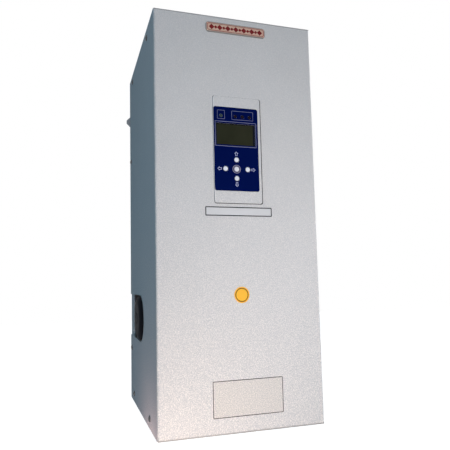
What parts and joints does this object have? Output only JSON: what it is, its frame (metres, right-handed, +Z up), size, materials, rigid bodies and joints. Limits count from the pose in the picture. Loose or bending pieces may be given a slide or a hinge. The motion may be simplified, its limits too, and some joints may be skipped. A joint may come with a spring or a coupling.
{
  "type": "electric heating boiler",
  "caption": "Slim wall-hung electric heating boiler with a folded steel casing, a keypad and display, a tubular heater vessel and a built-in circulation pump.",
  "frame": {"origin": "middle of the bolt line of the wall rail, on the wall plane", "axes": "+Z up along the casing's height, +Y into the wall, so the front faces -Y; +X to the right seen from the front"},
  "size_m": [0.2591, 0.2816, 0.669],
  "materials": {
    "casing_paint": "fine-textured light grey powder coat",
    "zinc_sheet": "galvanised sheet",
    "zinc_fasteners": "zinc-plated",
    "screw_paint": "dark plated screws",
    "black_rubber": "matt black rubber",
    "overlay_blue": "printed polyester film",
    "key_white": "glossy domed keys",
    "lcd_glass": "dark olive display window",
    "lcd_body": "display module",
    "board_green": "circuit board",
    "black_plastic": "black moulded plastic",
    "led_green": "unlit green lamp",
    "led_red": "unlit red lamp",
    "badge_cream": "domed resin badge",
    "stainless": "stainless steel",
    "brass": "plain brass",
    "element_steel": "heating element sheath",
    "pump_iron": "painted cast iron",
    "motor_black": "black motor housing",
    "copper": "lacquered copper winding",
    "carbon": "carbon bushes",
    "impeller_plastic": "moulded impeller",
    "knob_grey": "grey knob",
    "thermostat_cream": "cream phenolic body",
    "reset_red": "red button",
    "block_cream": "terminal block",
    "sink_aluminium": "extruded heat sink",
    "gland_grey": "grey nylon gland"
  },
  "bodies": {
    "casing": {"wall_rail": "zinc_sheet", "rear_panel": "casing_paint", "hanger_hook": "zinc_sheet", "chassis_screws": "zinc_fasteners", "wall_buffers": "black_rubber", "top_plate": "casing_paint", "bottom_plate": "casing_paint", "cover": "casing_paint", "cover_screws": "screw_paint", "control_bezel": "casing_paint", "keypad_overlay": "overlay_blue", "lcd_window": "lcd_glass", "lcd_module": "lcd_body", "display_board": "board_green", "display_case": "black_plastic", "bezel_nuts": "zinc_fasteners", "power_led": "led_green", "heating_leds": "led_red", "badge": "badge_cream", "heater_vessel": "stainless", "heater_head": "brass", "head_gasket": "black_rubber", "heating_elements": "element_steel", "terminal_hardware": "brass", "vessel_brackets": "zinc_sheet", "vessel_straps": "stainless", "supply_pipe": "stainless", "pump_elbow": "stainless", "return_pipe": "stainless", "union_nuts": "brass", "union_gaskets": "black_rubber", "pump_volute": "pump_iron", "pump_motor": "motor_black", "pump_stator": "copper", "rotor_can": "stainless", "pump_bearings": "carbon", "pump_bolts": "zinc_fasteners", "vent_plug": "motor_black", "pump_terminal_box": "black_plastic", "temperature_sensor": "brass", "overheat_thermostat": "thermostat_cream", "component_tray": "zinc_sheet", "contactor_body": "black_plastic", "terminal_block": "block_cream", "power_board": "board_green", "heat_sink": "sink_aluminium", "triacs": "black_plastic", "cable_glands": "gland_grey", "gland_caps": "gland_grey", "gland_seals": "black_rubber"},
    "key_up": {"key_up": "key_white"},
    "key_down": {"key_down": "key_white"},
    "key_left": {"key_left": "key_white"},
    "key_right": {"key_right": "key_white"},
    "key_enter": {"key_enter": "key_white"},
    "pump_rotor": {"pump_rotor": "stainless", "pump_impeller": "impeller_plastic"},
    "pump_speed_knob": {"pump_speed_knob": "knob_grey"},
    "thermostat_reset": {"thermostat_reset": "reset_red"},
    "contactor_armature": {"contactor_armature": "knob_grey"}
  },
  "joints": [
    {"name": "key_up_press", "type": "slide", "parent": "casing", "child": "key_up", "axis": [0, 1, 0], "range_m": [0, 0.0006], "stiffness_N_per_m": 400},
    {"name": "key_down_press", "type": "slide", "parent": "casing", "child": "key_down", "axis": [0, 1, 0], "range_m": [0, 0.0006], "stiffness_N_per_m": 400},
    {"name": "key_left_press", "type": "slide", "parent": "casing", "child": "key_left", "axis": [0, 1, 0], "range_m": [0, 0.0006], "stiffness_N_per_m": 400},
    {"name": "key_right_press", "type": "slide", "parent": "casing", "child": "key_right", "axis": [0, 1, 0], "range_m": [0, 0.0006], "stiffness_N_per_m": 400},
    {"name": "key_enter_press", "type": "slide", "parent": "casing", "child": "key_enter", "axis": [0, 1, 0], "range_m": [0, 0.0006], "stiffness_N_per_m": 400},
    {"name": "pump_rotor_spin", "type": "hinge", "parent": "casing", "child": "pump_rotor", "pos_m": [-0.025, -0.128, -0.3715], "axis": [-1, 0, 0], "continuous": true},
    {"name": "pump_speed_turn", "type": "hinge", "parent": "casing", "child": "pump_speed_knob", "pos_m": [-0.092, -0.1543, -0.3205], "axis": [0, 1, 0], "range_deg": [-45, 45]},
    {"name": "thermostat_reset_press", "type": "slide", "parent": "casing", "child": "thermostat_reset", "axis": [0, 0, 1], "range_m": [0, 0.0015], "stiffness_N_per_m": 500},
    {"name": "contactor_pull_in", "type": "slide", "parent": "casing", "child": "contactor_armature", "axis": [0, 1, 0], "range_m": [0, 0.003], "stiffness_N_per_m": 300}
  ]
}
